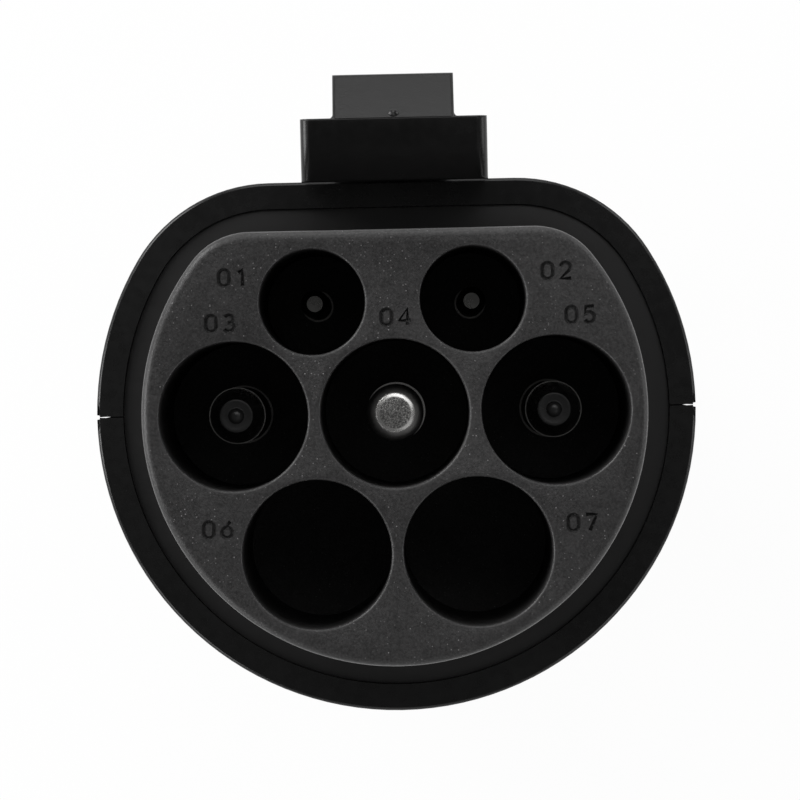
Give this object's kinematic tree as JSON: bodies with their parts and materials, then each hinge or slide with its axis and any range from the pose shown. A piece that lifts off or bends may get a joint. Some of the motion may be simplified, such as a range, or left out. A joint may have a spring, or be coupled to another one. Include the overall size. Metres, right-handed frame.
{
  "type": "electric vehicle charging adapter",
  "caption": "Double-ended charging adapter: D-shaped plug with deep contact cavities and a sprung latch at the top, a matching inlet barrel at the foot, and a ribbed grip housing between.",
  "frame": {"origin": "centre of the bounding box in X and Y, on the plane that the inlet end stands on", "axes": "+Z runs from the inlet face up to the plug face, along the contacts; +Y points to the latch side; +X points right, seen by someone who looks into the plug with the latch at the top"},
  "size_m": [0.0662, 0.0694, 0.158],
  "materials": {
    "housing_plastic": "fine matte grain, black",
    "insert_plastic": "fine matte grain, black",
    "latch_plastic": "fine matte grain, black",
    "gasket_rubber": "smooth, black",
    "inner_plastic": "smooth, black",
    "tip_plastic": "smooth, dark grey",
    "contact_metal": "silver plated, turned",
    "steel": "zinc plated",
    "board": "green solder resist",
    "chip_body": "black chips",
    "switch_body": "smooth, dark grey"
  },
  "bodies": {
    "housing": {"upper_shell": "housing_plastic", "lower_shell": "housing_plastic", "plug_insert": "insert_plastic", "inlet_insert": "insert_plastic", "plug_gasket": "gasket_rubber", "inlet_gasket": "gasket_rubber", "plug_retainer": "inner_plastic", "inlet_retainer": "inner_plastic", "retainer_screws": "steel", "shell_screws": "steel", "pe_pin": "contact_metal", "l1_pin": "contact_metal", "n_pin": "contact_metal", "l1_plug_tip": "tip_plastic", "n_plug_tip": "tip_plastic", "l1_inlet_tip": "tip_plastic", "n_inlet_tip": "tip_plastic", "cc_plug_pin": "contact_metal", "cp_plug_pin": "contact_metal", "pp_inlet_pin": "contact_metal", "cp_inlet_pin": "contact_metal", "signal_board": "board", "coding_resistors": "chip_body", "micro_switch": "switch_body", "latch_pivot_pin": "steel", "latch_spring": "steel"},
    "latch": {"latch_lever": "latch_plastic"},
    "plunger": {"switch_plunger": "switch_body"}
  },
  "joints": [
    {"name": "latch_press", "type": "hinge", "parent": "housing", "child": "latch", "pos_m": [0, 0.02797, 0.058], "axis": [1, 0, 0], "range_deg": [0, 3.2], "stiffness_Nm_per_rad": 3, "springref_deg": -5.73, "deforming": ["latch_spring"]},
    {"name": "switch_press", "type": "slide", "parent": "housing", "child": "plunger", "axis": [0, -1, 0], "range_m": [0, 0.0012]}
  ],
  "couplings": [
    {"joint": "switch_press", "follows": "latch_press", "m_per_rad": 0.0205}
  ]
}
